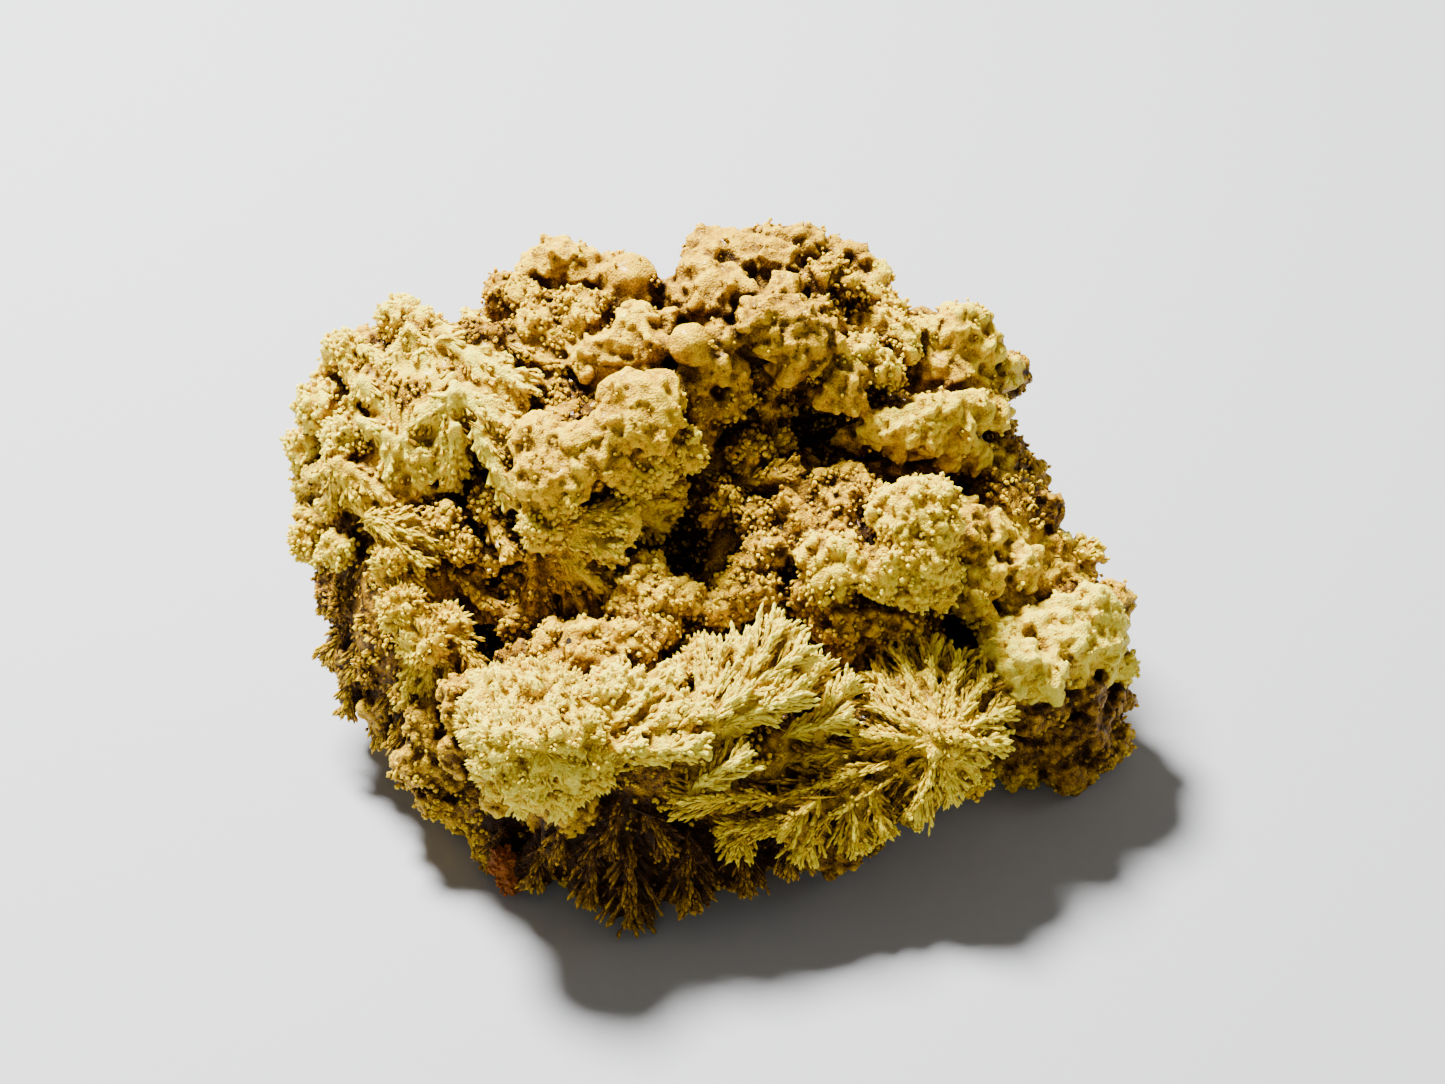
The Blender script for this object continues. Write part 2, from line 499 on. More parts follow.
            [[-4.6, -10.9, 9.6], [-1, -10.4, 10.4], 1],
            [[-6.3, -10.7, 9.8], [-4.2, -10.5, 10.6], 0.9],
            [[-3.2, -9.6, 9.4], [-0.9, -8.8, 9.8], 1.2],
        ],
    },
    "front_fan": {
        "tone": "cream",
        "habit": "needle",
        "knobs": [],
        "clumps": [[-0.8, -6.5, 6, 1.6], [-1.6, -7, 6.4, 1.4]],
        "sprays": [
            [[-2.6, -10.4, 9.2], [1.5, -7.6, 9.4], 2.2],
            [[-1.2, -9.2, 8.8], [0.1, -5.4, 8], 1.2],
            [[-0.3, -8.9, 8.8], [1.5, -4.8, 7.8], 1.5],
            [[0, -8.7, 8.8], [3.4, -4.1, 8], 1.8],
            [[0.4, -8.4, 8.6], [4.6, -5.3, 8.6], 1.6],
            [[-0.5, -9.6, 9], [4.3, -7.6, 9.2], 1.2],
            [[-1.7, -12.9, 9], [1.2, -10.8, 9.6], 1.2],
            [[3.5, -9.9, 7.2], [6.6, -9.1, 7.8], 1],
            [[4.8, -9.6, 7], [6.8, -7.2, 7.4], 1],
            [[3.6, -8.8, 6.6], [5.4, -6.2, 6.4], 1.1],
        ],
    },
    "folded_sheaf": {
        "tone": "tan",
        "habit": "needle",
        "knobs": [],
        "clumps": [],
        "sprays": [
            [[8.8, -10.6, 7.2], [3, -11.4, 7.2], 1.3],
            [[9.3, -11.3, 7.2], [1.9, -13.6, 8], 1.5],
            [[9.5, -11.9, 7], [4, -15, 7.6], 1.5],
            [[2.4, -13.2, 8.4], [-2.7, -13.2, 9.4], 1.1],
            [[4, -14.3, 7.8], [0, -14.8, 8.4], 1.2],
            [[5, -13.3, 8], [2.9, -15.1, 8.4], 1.4],
            [[6.6, -13.2, 7.4], [7.1, -16.2, 7], 1.5],
            [[5, -13.8, 7.6], [4, -16.6, 7.2], 1.5],
            [[7.6, -12.8, 7.4], [8.5, -15.4, 7], 1.2],
            [[1.2, -14, 8], [0.6, -16.4, 7.6], 1.3],
        ],
    },
    "east_rosette": {
        "tone": "straw",
        "habit": "needle",
        "knobs": [],
        "clumps": [[11.3, -10.4, 6.6, 1.8]],
        "sprays": [[ROSETTE_HEART, tip[:3], tip[3]] for tip in [
            [7.7, -6.7, 5.6, 1.5], [9.2, -5.5, 5.2, 1.6], [10.8, -5.2, 5.2, 1.6], [12.5, -5.8, 5.2, 1.5],
            [14.2, -6.9, 5.2, 1.3], [15.1, -8.6, 5.6, 1.3], [15, -10.5, 6, 1.3], [13.4, -12.3, 6.4, 1.3],
            [11.9, -13.6, 6.6, 1.2], [9.9, -14.5, 7, 1.3], [7.6, -8.4, 7, 1.4], [7.1, -10.1, 7.4, 1],
        ]],
    },
}


FACE_ORIGIN = np.array([0.0, 0.0, FACE_HEIGHT])
FACE_AXES = np.array([
    [1.0, 0.0, 0.0],
    [0.0, math.sin(FACE_LIFT), math.cos(FACE_LIFT)],
    [0.0, -math.cos(FACE_LIFT), math.sin(FACE_LIFT)],
])
OUT = np.array([0.0, 0.0, 1.0])


def from_face(places):
    """Places on the face, in mm, as points of the specimen's own frame, in mm."""
    return FACE_ORIGIN + np.asarray(places, float) @ FACE_AXES


def to_face(points):
    """Points of the specimen's own frame, in mm, as places on the face."""
    return (np.asarray(points, float) - FACE_ORIGIN) @ FACE_AXES.T


def unit(vectors):
    """The same directions with length 1."""
    vectors = np.asarray(vectors, float)
    return vectors / np.maximum(np.linalg.norm(vectors, axis=-1, keepdims=True), 1e-9)


def even_directions(count):
    """Directions spread evenly over a whole sphere."""
    steps = np.arange(count)
    level = 1 - (2 * steps + 1) / count
    ring = np.sqrt(1 - level * level)
    angle = steps * math.pi * (3 - math.sqrt(5))
    return np.stack([ring * np.cos(angle), ring * np.sin(angle), level], axis=1)


# ---------------------------------------------------------------- node trees


class Wire:
    """A value in a node tree. Arithmetic on it adds Math nodes."""

    def __init__(self, graph, socket):
        self.graph = graph
        self.socket = socket

    def math(self, operation, *values):
        node = self.graph.node("ShaderNodeMath", {"operation": operation}, values)
        return self.graph.wire(node, 0)

    def __add__(self, other):
        return self.math("ADD", self, other)

    __radd__ = __add__

    def __sub__(self, other):
        return self.math("SUBTRACT", self, other)

    def __rsub__(self, other):
        return self.math("SUBTRACT", other, self)

    def __mul__(self, other):
        return self.math("MULTIPLY", self, other)

    __rmul__ = __mul__

    def __truediv__(self, other):
        return self.math("DIVIDE", self, other)

    def __rtruediv__(self, other):
        return self.math("DIVIDE", other, self)

    def __gt__(self, other):
        return self.math("GREATER_THAN", self, other)

    def __lt__(self, other):
        return self.math("LESS_THAN", self, other)

    def clamped(self):
        node = self.graph.node("ShaderNodeClamp", {}, (self, 0.0, 1.0))
        return self.graph.wire(node, 0)


class Graph:
    """A node tree under construction."""

    def __init__(self, tree):
        self.tree = tree

    def node(self, kind, settings, values):
        """A node of one type, with its settings made first and then its input sockets filled."""
        node = self.tree.nodes.new(kind)
        for setting, value in settings.items():
            if setting == "stops":
                self.set_stops(node.color_ramp, value)
            else:
                setattr(node, setting, value)
        pairs = values.items() if isinstance(values, dict) else enumerate(values)
        for key, value in pairs:
            self.feed(node.inputs[key], value)
        return node

    def feed(self, socket, value):
        if isinstance(value, Wire):
            self.tree.links.new(value.socket, socket)
        elif value is not None:
            socket.default_value = value

    def set_stops(self, ramp, stops):
        while len(ramp.elements) < len(stops):
            ramp.elements.new(1.0)
        for element, (position, colour) in zip(ramp.elements, stops):
            element.position = position
            element.color = (*colour, 1.0)

    def wire(self, node, output):
        return Wire(self, node.outputs[output])

    def ramp(self, value, stops):
        return self.wire(self.node("ShaderNodeValToRGB", {"stops": stops}, (value,)), "Color")

    def blend(self, share, first, second):
        node = self.node("ShaderNodeMix", {"data_type": "RGBA"}, {0: share, 6: first, 7: second})
        return self.wire(node, 2)

    def attribute(self, name):
        """A number stored on the mesh of the piece."""
        return self.wire(self.node("ShaderNodeAttribute", {"attribute_name": name}, ()), "Fac")

    def stored(self, name, kind):
        """A value stored on the geometry that runs through the tree."""
        node = self.node("GeometryNodeInputNamedAttribute", {"data_type": kind}, {"Name": name})
        return self.wire(node, "Attribute")


# ---------------------------------------------------------------- finish

PALE_STOPS = [
    (0.00, (0.960, 0.800, 0.070)),
    (0.18, (0.930, 0.670, 0.010)),
    (0.40, (0.740, 0.440, 0.002)),
    (0.64, (0.340, 0.165, 0.001)),
    (0.84, (0.110, 0.044, 0.001)),
    (1.00, (0.030, 0.011, 0.001)),
]
GOLDEN_STOPS = [
    (0.00, (0.960, 0.730, 0.006)),
    (0.18, (0.910, 0.605, 0.001)),
    (0.40, (0.700, 0.398, 0.001)),
    (0.64, (0.320, 0.153, 0.001)),
    (0.84, (0.110, 0.044, 0.001)),
    (1.00, (0.030, 0.011, 0.001)),
]
RUST_COLOUR = (0.270, 0.075, 0.004, 1.0)
SPECK_COLOUR = (0.018, 0.014, 0.010, 1.0)
CREASE_REACH = 0.8 * MM  # a crease narrower than this is stained brown


def mimetite_finish(name, sugar, sugar_height):
    """Resinous yellow crystal with a sugary grain: pale at tips and edges, brown in the hollows."""
    material = bpy.data.materials.new(name)
    material.use_nodes = True
    graph = Graph(material.node_tree)
    shader = material.node_tree.nodes["Principled BSDF"]
    shade = graph.attribute("shade")
    along = graph.attribute("along")
    place = graph.wire(graph.node("ShaderNodeTexCoord", {}, ()), "Object")

    def cloud(scale, detail):
        values = {"Vector": place, "Scale": scale, "Detail": detail, "Roughness": 0.6}
        return graph.wire(graph.node("ShaderNodeTexNoise", {}, values), "Fac") - 0.5

    patches = cloud(300.0, 2.0)
    crumbs = cloud(sugar * 0.55, 4.0)
    grain = graph.node("ShaderNodeTexVoronoi", {}, {"Vector": place, "Scale": sugar})
    gap = graph.wire(grain, "Distance") - 0.35
    around = graph.node("ShaderNodeAmbientOcclusion", {"samples": 2}, {"Distance": CREASE_REACH})
    crease = 1.0 - graph.wire(around, "AO")
    depth = shade - along * 0.30 + patches * 0.35 + crumbs * 0.30 + gap * 0.30 + crease * 0.72 - 0.09
    depth = depth.clamped()
    golden = (graph.attribute("gold") + patches * 0.8 + crease * 0.3).clamped()
    colour = graph.blend(golden, graph.ramp(depth, PALE_STOPS), graph.ramp(depth, GOLDEN_STOPS))
    rust = ((graph.attribute("gold") - 1.2) * 4.0).clamped()
    colour = graph.blend(rust, colour, RUST_COLOUR)

    cells = graph.node("ShaderNodeTexVoronoi", {}, {"Vector": place, "Scale": 620.0})
    parts = graph.node("ShaderNodeSeparateColor", {}, (graph.wire(cells, "Color"),))
    speck = (graph.wire(cells, "Distance") < 0.14) * (graph.wire(parts, 0) < 0.012)
    graph.feed(shader.inputs["Base Color"], graph.blend(speck, colour, SPECK_COLOUR))

    graph.feed(shader.inputs["Roughness"], (0.30 + crumbs * 0.6 + crease * 0.5).clamped())
    height = crumbs * 1.6 - gap * 0.7
    values = {"Strength": 1.0, "Distance": sugar_height, "Height": height}
    graph.feed(shader.inputs["Normal"], graph.wire(graph.node("ShaderNodeBump", {}, values), 0))
    shader.inputs["Subsurface Weight"].default_value = 0.30
    shader.inputs["Subsurface Radius"].default_value = (1.0, 0.60, 0.10)
    shader.inputs["Subsurface Scale"].default_value = 0.30 * MM
    shader.inputs["IOR"].default_value = 1.45
    shader.inputs["Specular IOR Level"].default_value = 0.12
    shader.inputs["Coat Weight"].default_value = 0.05
    shader.inputs["Coat Roughness"].default_value = 0.08
    return material


# ---------------------------------------------------------------- mesh helpers


def mesh_object(name, points, faces):
    """A new object from points in mm and lists of corner numbers."""
    mesh = bpy.data.meshes.new(name)
    mesh.from_pydata((np.asarray(points) * MM).tolist(), [], faces)
    piece = bpy.data.objects.new(name, mesh)
    bpy.context.scene.collection.objects.link(piece)
    return piece


def bake_modifiers(piece):
    """Replaces a piece's mesh by what its modifiers make of it, and removes them."""
    bpy.context.view_layer.update()
    graph = bpy.context.evaluated_depsgraph_get()
    made = bpy.data.meshes.new_from_object(piece.evaluated_get(graph))
    piece.modifiers.clear()
    old = piece.data
    piece.data = made
    bpy.data.meshes.remove(old)
    made.name = piece.name


def remesh(piece, voxel):
    """One even skin round everything in a piece."""
    modifier = piece.modifiers.new("skin", "REMESH")
    modifier.mode = "VOXEL"
    modifier.voxel_size = voxel * MM
    modifier.use_smooth_shade = True
    bake_modifiers(piece)


def thin_out(piece, most):
    """Joins the flattest triangles of a piece until it has no more than a given number."""
    count = sum(len(face.vertices) - 2 for face in piece.data.polygons)
    if count > most:
        modifier = piece.modifiers.new("thin", "DECIMATE")
        modifier.ratio = most / count
        bake_modifiers(piece)


def read_points(mesh, what):
    """A mesh's points or its normals, one row for each vertex."""
    values = np.empty(len(mesh.vertices) * 3)
    mesh.vertices.foreach_get(what, values)
    return values.reshape(-1, 3)


def points_of(mesh):
    """A mesh's points, in mm."""
    return read_points(mesh, "co") / MM


def move_points(mesh, points):
    mesh.vertices.foreach_set("co", (np.asarray(points) * MM).ravel())
    mesh.update()


def keep(mesh, name, values):
    """Stores one number or one vector for each point of a mesh."""
    values = np.asarray(values, float)
    kind, field = ("FLOAT_VECTOR", "vector") if values.ndim == 2 else ("FLOAT", "value")
    attribute = mesh.attributes.new(name, kind, "POINT")
    attribute.data.foreach_set(field, values.ravel())


def tree_of(mesh):
    """A mesh's faces, in mm, ready to be asked what lies near or in the way."""
    faces = [face.vertices[:] for face in mesh.polygons]
    return BVHTree.FromPolygons(points_of(mesh).tolist(), faces)


# ---------------------------------------------------------------- what grows on the masses


class Guides:
    """Roots and tips of what is set on the masses one by one, with widths and tones."""

    def __init__(self):
        self.roots = []
        self.tips = []
        self.widths = []
        self.tones = []

    def add(self, roots, tips, widths, tone):
        self.roots.append(roots)
        self.tips.append(tips)
        self.widths.append(np.broadcast_to(widths, len(roots)))
        self.tones.append(np.broadcast_to(tone, (len(roots), 2)))


ROD_STEPS = (0.0, 0.35, 0.70, 1.0)


class Growth:
    """Balls that fuse into the mass, and the bulges, nubs and crystals that stand on it."""

    def __init__(self):
        self.middles = []
        self.radii = []
        self.leans = []
        self.tones = []
        self.bulges = Guides()
        self.nubs = Guides()
        self.crystals = Guides()

    def add_balls(self, middles, radii, leans, tone):
        middles = np.atleast_2d(middles)
        self.middles.append(middles)
        self.radii.append(np.broadcast_to(radii, len(middles)))
        self.leans.append(np.broadcast_to(leans, middles.shape))
        self.tones.append(np.broadcast_to(tone, (len(middles), 2)))

    def add_rods(self, roots, tips, thick, taper, tone, leans):
        """Rods of fused balls, thinner towards their tips."""
        for share in ROD_STEPS:
            self.add_balls(roots + (tips - roots) * share, thick * (1 - taper * share), leans, tone)

    def take_balls(self, other):
        """Adds another growth's balls."""
        self.middles += other.middles
        self.radii += other.radii
        self.leans += other.leans
        self.tones += other.tones


def way_out(place):
    """The direction away from the nearest lump."""
    centres = np.array([row[:3] for row in LUMPS])
    sizes = np.array([row[3:] for row in LUMPS])
    offset = (np.asarray(place[:3]) - centres) / sizes
    nearest = np.argmin(np.linalg.norm(offset, axis=1))
    return unit(offset[nearest] / sizes[nearest])


def open_ways(count, outward, least, rng):
    """Roughly even directions on the open side of a place."""
    ways = unit(even_directions(count) + rng.normal(0, 0.18, (count, 3)))
    return ways[ways @ outward > least]


SWELL_SPACING = 1.1  # mm between the low swellings of a knob
SWELL_RADIUS = (0.45, 0.80)
LOBE_SPACING = 0.86  # mm between the lobes of a clump
LOBE_RADIUS = (0.40, 0.62)
NUB_RADIUS = (0.20, 0.32)


def add_nubs(growth, middles, ways, sizes, least, tone, rng):
    """Small round nubs over the outer sides of fused balls."""
    for middle, way, size in zip(middles, ways, sizes):
        nubs = open_ways(int(16 * size), way, least, rng)
        nubs = nubs[rng.uniform(0, 1, len(nubs)) < 0.6]
        width = rng.uniform(*NUB_RADIUS, len(nubs))
        places = middle + nubs * (size - width * rng.uniform(0.1, 0.6, len(nubs)))[:, None]
        growth.add_balls(places, width, 0.0, (tone[0] - 0.04, tone[1]))


def grow_dome(growth, row, tone, outward, rng):
    """A smooth round dome with a few low swellings."""
    middle = np.array(row[:3])
    radius = row[3]
    growth.add_balls(middle, radius, 0.0, tone)
    ways = open_ways(12, outward, -0.2, rng)
    growth.add_balls(middle + ways * radius * 0.30, radius * 0.78, 0.0, tone)


def grow_knob(growth, row, tone, outward, rng):
    """A rounded knob with low swellings, rough with small nubs."""
    middle = np.array(row[:3])
    radius = row[3]
    growth.add_balls(middle, radius * 0.86, 0.0, (tone[0] + 0.06, tone[1]))
    ways = open_ways(int(4 * math.pi * radius ** 2 / SWELL_SPACING ** 2), outward, -0.3, rng)
    sizes = rng.uniform(*SWELL_RADIUS, len(ways)) * min(1.0, 0.5 + radius * 0.36)
    reach = radius * rng.uniform(0.92, 1.14, len(ways))
    places = middle + ways * (reach - sizes)[:, None]
    growth.add_balls(places, sizes, 0.0, tone)
    add_nubs(growth, places, ways, sizes, 0.35, tone, rng)


def grow_clump(growth, row, tone, habit, outward, rng):
    """A rough knot: short blunt lobes on all open sides, with small crystals on their ends."""
    middle = np.array(row[:3])
    radius = row[3]
    growth.add_balls(middle, radius * 0.88, 0.0, (tone[0] + 0.12, tone[1]))
    ways = open_ways(int(4 * math.pi * radius ** 2 / LOBE_SPACING ** 2), outward, -0.3, rng)
    facing = np.clip(ways @ outward, 0, 1)
    reach = radius * (rng.uniform(0.92, 1.06, len(ways)) + 0.12 * facing)
    sizes = rng.uniform(*LOBE_RADIUS, len(ways))
    tips = middle + ways * (reach - sizes)[:, None]
    growth.add_balls(tips, sizes, 0.0, tone)
    add_tufts(growth, middle + ways * reach[:, None] * 0.62, ways, reach * 0.36, sizes, tone, habit, rng)


def add_tufts(growth, starts, ways, lengths, thick, tone, habit, rng):
    """The crystals along and at the end of a set of branches."""
    each = habit["tuft"]
    starts = np.repeat(starts, each, axis=0)
    lengths = np.repeat(lengths, each)[:, None]
    thick = np.repeat(thick, each)[:, None]
    ways = np.repeat(ways, each, axis=0)
    count = len(starts)
    aside = rng.normal(0, 1, (count, 3))
    aside = unit(aside - ways * np.sum(aside * ways, axis=1, keepdims=True))
    level = rng.uniform(0.10, 1.0, (count, 1)) ** 0.75
    reach = lengths * level + 0.25 * habit["length"] * rng.uniform(0.0, 1, (count, 1))
    spread = thick * (0.35 + 0.85 * np.sqrt(rng.uniform(0, 1, (count, 1)))) * (1.15 - 0.55 * level)
    tips = starts + ways * reach + aside * spread
    span = habit["length"] * rng.uniform(0.7, 1.25, (count, 1))
    roots = tips - span * unit(ways + aside * habit["splay"] * rng.uniform(0.3, 1.2, (count, 1)))
    growth.crystals.add(roots, tips, habit["radius"] * rng.uniform(0.65, 1.25, count), tone)


BODY_STEPS = 5


def grow_spray(growth, row, tone, habit, rng):
    """A stem with close side branches on both sides, in one blade highest along its middle."""
    root, tip, half_width = row
    root = np.asarray(root, float)
    way = np.asarray(tip, float) - root
    length = np.linalg.norm(way)
    axis = way / length
    side = unit(np.cross(OUT, axis))
    up = np.cross(axis, side)

    pairs = max(2, round(length / habit["spacing"]))
    level = np.repeat(np.linspace(0.0, 0.86, pairs), 2) + rng.normal(0, 0.03, 2 * pairs)
    hand = np.tile([1.0, -1.0], pairs)
    angle = np.radians(rng.uniform(24, 40, 2 * pairs)) * (1.15 - 0.55 * level)
    blade = half_width * (0.45 + 0.55 * np.sin(math.pi * (0.12 + 0.62 * level)))
    reach = np.minimum(blade / np.sin(angle), (1.03 - level) * length + 0.35)
    starts = root + np.outer(level * length, axis)
    lift = rng.normal(-0.20, 0.08, 2 * pairs)
    ways = np.outer(np.cos(angle), axis) + np.outer(np.sin(angle) * hand, side) + np.outer(lift, up)

    ridge = np.linspace(0.05, 0.72, pairs)
    top_ways = axis + np.outer(rng.uniform(0.05, 0.35, pairs), up) + np.outer(rng.normal(0, 0.16, pairs), side)
    starts = np.concatenate([starts, root + np.outer(ridge * length, axis), [root]])
    ways = unit(np.concatenate([ways, top_ways, [axis]]))
    lengths = np.concatenate([reach, np.minimum(half_width, length * (1 - ridge)), [length]])
    lengths *= rng.uniform(0.85, 1.10, len(lengths))
    thick = habit["branch"] * rng.uniform(0.8, 1.2, len(starts))
    ends = starts + ways * (lengths * 0.94)[:, None]
    growth.add_rods(starts, ends, thick, 0.45, tone, ways)
    add_tufts(growth, starts, ways, lengths, thick, tone, habit, rng)

    for share in np.linspace(0.08, 0.80, BODY_STEPS):
        wide = half_width * (0.35 + 0.65 * math.sin(math.pi * (0.12 + 0.62 * share))) - 0.22
        for aside in (-0.55, 0.0, 0.55):
            thickness = max(0.22, half_width * 0.42 * (1 - abs(aside) * 0.4))
            sunk = thickness + 0.20 + 0.2 * abs(aside)
            middle = root + way * share + side * wide * aside - up * sunk
            growth.add_balls(middle, thickness, axis, (tone[0] + 0.12, tone[1]))


def grow_region(growth, region, rng):
    """Everything in one region."""
    tone = TONES[region["tone"]]
    habit = HABITS[region["habit"]]
    for row in region.get("domes", []):
        grow_dome(growth, row, tone, unit(way_out(row) + 0.35 * OUT), rng)
    for row in region["knobs"]:
        grow_knob(growth, row, tone, unit(way_out(row) + 0.35 * OUT), rng)
    for row in region["clumps"]:
        grow_clump(growth, row, tone, habit, unit(way_out(row) + 0.35 * OUT), rng)
    for row in region["sprays"]:
        grow_spray(growth, row, tone, HABITS["finger"] if region["habit"] == "stub" else habit, rng)


HIDDEN_SPACING = 2.5
HIDDEN_CANDIDATES = 110
HIDDEN_KNOT = 1.7
LOWEST_KNOT = 1.2
HIDDEN_TONES = ["gold", "umber", "amber", "gold"]


def depth_in(row, spots):
    """Below 1 inside a lump, 1 on its surface."""
    return np.linalg.norm((spots - np.array(row[:3])) / np.array(row[3:]), axis=1)


def hidden_knots():
    """Knots of crystals on the sides that the face hides, evenly spaced over the bare lumps."""
    rng = np.random.default_rng(SEED)
    ways = even_directions(HIDDEN_CANDIDATES)
    kept = []
    for lump in LUMPS:
        spots = np.array(lump[:3]) + ways * np.array(lump[3:])
        outside = np.min([depth_in(other, spots) for other in LUMPS], axis=0) > 0.96
        hidden = ways[:, 2] < 0.25
        high = from_face(spots)[:, 2] > LOWEST_KNOT
        for spot in spots[outside & hidden & high]:
            gaps = [np.linalg.norm(spot - other[:3]) for other in kept]
            if not gaps or min(gaps) > HIDDEN_SPACING:
                kept.append([*spot, HIDDEN_KNOT * rng.uniform(0.6, 1.15)])
    return kept


def grow_hidden_sides(growth, rng):
    """Knots and knobs over the sides that the face hides."""
    for number, row in enumerate(hidden_knots()):
        tone = TONES[HIDDEN_TONES[rng.integers(len(HIDDEN_TONES))]]
        if number % 2 == 0:
            grow_knob(growth, row, tone, way_out(row), rng)
        else:
            grow_clump(growth, row, tone, HABITS["stub"], way_out(row), rng)


FILL_SPACING = 1.05  # mm between the knots that fill what is bare
FILL_HEIGHT = 0.5  # mm over the floor of the lowest of them
FILL_TONE = (0.50, 0.80)


def fill_bare(growth, points, normals, bare, rng):
    """Low knots of blunt crystals wherever the crust is still bare."""
    open_spots = np.nonzero((bare > 0.5) & (points[:, 2] > FILL_HEIGHT))[0]
    rng.shuffle(open_spots)
    taken = {}
    kept = []
    for number in open_spots:
        cell = tuple(np.floor(points[number] / FILL_SPACING).astype(int))
        if cell not in taken:
            taken[cell] = True
            kept.append(number)
    starts = to_face(points[kept])
    ways = unit(normals[kept] @ FACE_AXES.T + rng.normal(0, 0.3, (len(kept), 3)))
    lengths = rng.uniform(0.1, 0.6, len(kept))
    add_tufts(growth, starts, ways, lengths, np.full(len(kept), 0.42), FILL_TONE, HABITS["stub"], rng)


# ---------------------------------------------------------------- the mass

ROUGH_VOXEL = 0.5
MASS_VOXEL = 0.18
MOST_MASS_TRIANGLES = 560000
BLOCKS = 3


def ball(splits):
    """The points and faces of one round ball."""
    bm = bmesh.new()
    bmesh.ops.create_icosphere(bm, subdivisions=splits, radius=1.0)
    points = np.array([vert.co[:] for vert in bm.verts])
    faces = np.array([[vert.index for vert in face.verts] for face in bm.faces])
    bm.free()
    return points, faces


def balls_mesh(middles, radii, leans, splits, stretch=0.35):
    """Points and faces of many balls, drawn out a little along the way that each leans."""
    points, faces = ball(splits)
    along = points @ leans.T
    drawn = points[None] + stretch * along.T[:, :, None] * leans[:, None, :]
    places = middles[:, None, :] + radii[:, None, None] * drawn if radii.ndim == 1 else (
        middles[:, None, :] + radii[:, None, :] * drawn)
    numbers = faces[None] + (np.arange(len(middles)) * len(points))[:, None, None]
    return places.reshape(-1, 3), numbers.reshape(-1, 3)


def sink_pits(mesh):
    """Lowers the show face to the floor of every pit."""
    places = to_face(points_of(mesh))
    outward = (read_points(mesh, "normal") @ FACE_AXES.T)[:, 2] > -0.2
    for across, rise, out, *radii in PITS:
        flat = (places[:, :2] - [across, rise]) / radii[:2]
        distance = np.linalg.norm(flat, axis=1)
        inside = (distance < 1) & outward & (places[:, 2] > out - radii[2])
        floor = out - radii[2] * np.sqrt(np.clip(1 - distance ** 2, 0, 1))
        places[inside, 2] = np.minimum(places[inside, 2], floor[inside])
    move_points(mesh, from_face(places))


def cut_flat(mesh):
    """Cuts a mesh off at the floor and closes the cut."""
    bm = bmesh.new()
    bm.from_mesh(mesh)
    everything = bm.verts[:] + bm.edges[:] + bm.faces[:]
    cut = bmesh.ops.bisect_plane(
        bm, geom=everything, dist=1e-7, plane_co=(0, 0, 0), plane_no=(0, 0, -1), clear_outer=True)
    rim = [item for item in cut["geom_cut"] if isinstance(item, bmesh.types.BMEdge)]
    bmesh.ops.holes_fill(bm, edges=rim, sides=0)
    bmesh.ops.triangulate(bm, faces=[face for face in bm.faces if len(face.verts) > 4])
    bmesh.ops.recalc_face_normals(bm, faces=bm.faces[:])
    bm.to_mesh(mesh)
    bm.free()


# mm across and mm high of the crust's round grains: in general, and on the smoother north side.
CRUST_GRAINS = [(0.85, 0.26), (0.42, 0.10)]
NORTH_GRAINS = [(1.45, 0.34), (0.60, 0.10)]
NORTH_EDGE = (6.0, 9.0)  # mm up the face between which the one passes into the other
DOME_GRAINS = 0.25  # how high grains stand on the smooth domes
SPRAY_GRAINS = 0.25  # and on the sprays
FLOOR_MARGIN = 0.35  # mm over the floor where the crust fades out


def grain_heights(points, grains):
    """How high the round grains of a crust stand at each point, with sharp creases between them."""
    height = np.zeros(len(points))
    for size, rise in grains:
        for i, point in enumerate(points):
            spot = Vector(point) / size
            near = noise.voronoi(spot + 0.35 * noise.noise_vector(spot * 0.8))[0]
            height[i] += rise * (min((near[1] - near[0]) / 0.8, 1.0) ** 0.5 - 0.55)
    return height


def swell_crust(mesh, growth):
    """Raises round grains out of the mass, low ones on domes and sprays."""
    points = points_of(mesh)
    run = np.linalg.norm(nearest_growth(growth, points)[1], axis=1)
    places = to_face(points)
    low, high = NORTH_EDGE
    north = np.clip((places[:, 1] - low) / (high - low), 0, 1)
    height = np.zeros(len(points))
    some = north < 1
    height[some] += (1 - north[some]) * grain_heights(points[some], CRUST_GRAINS)
    some = north > 0
    height[some] += north[some] * grain_heights(points[some], NORTH_GRAINS)
    for row in REGIONS["amber_domes"]["domes"]:
        away = np.linalg.norm(places - row[:3], axis=1) - row[3]
        height *= np.clip(away / 0.6, DOME_GRAINS, 1)
    height *= 1 - (1 - SPRAY_GRAINS) * np.clip(run, 0, 1)
    height *= np.clip(points[:, 2] / FLOOR_MARGIN, 0, 1)
    moved = points + read_points(mesh, "normal") * height[:, None]
    moved[:, 2] = np.maximum(moved[:, 2], 0)
    move_points(mesh, moved)


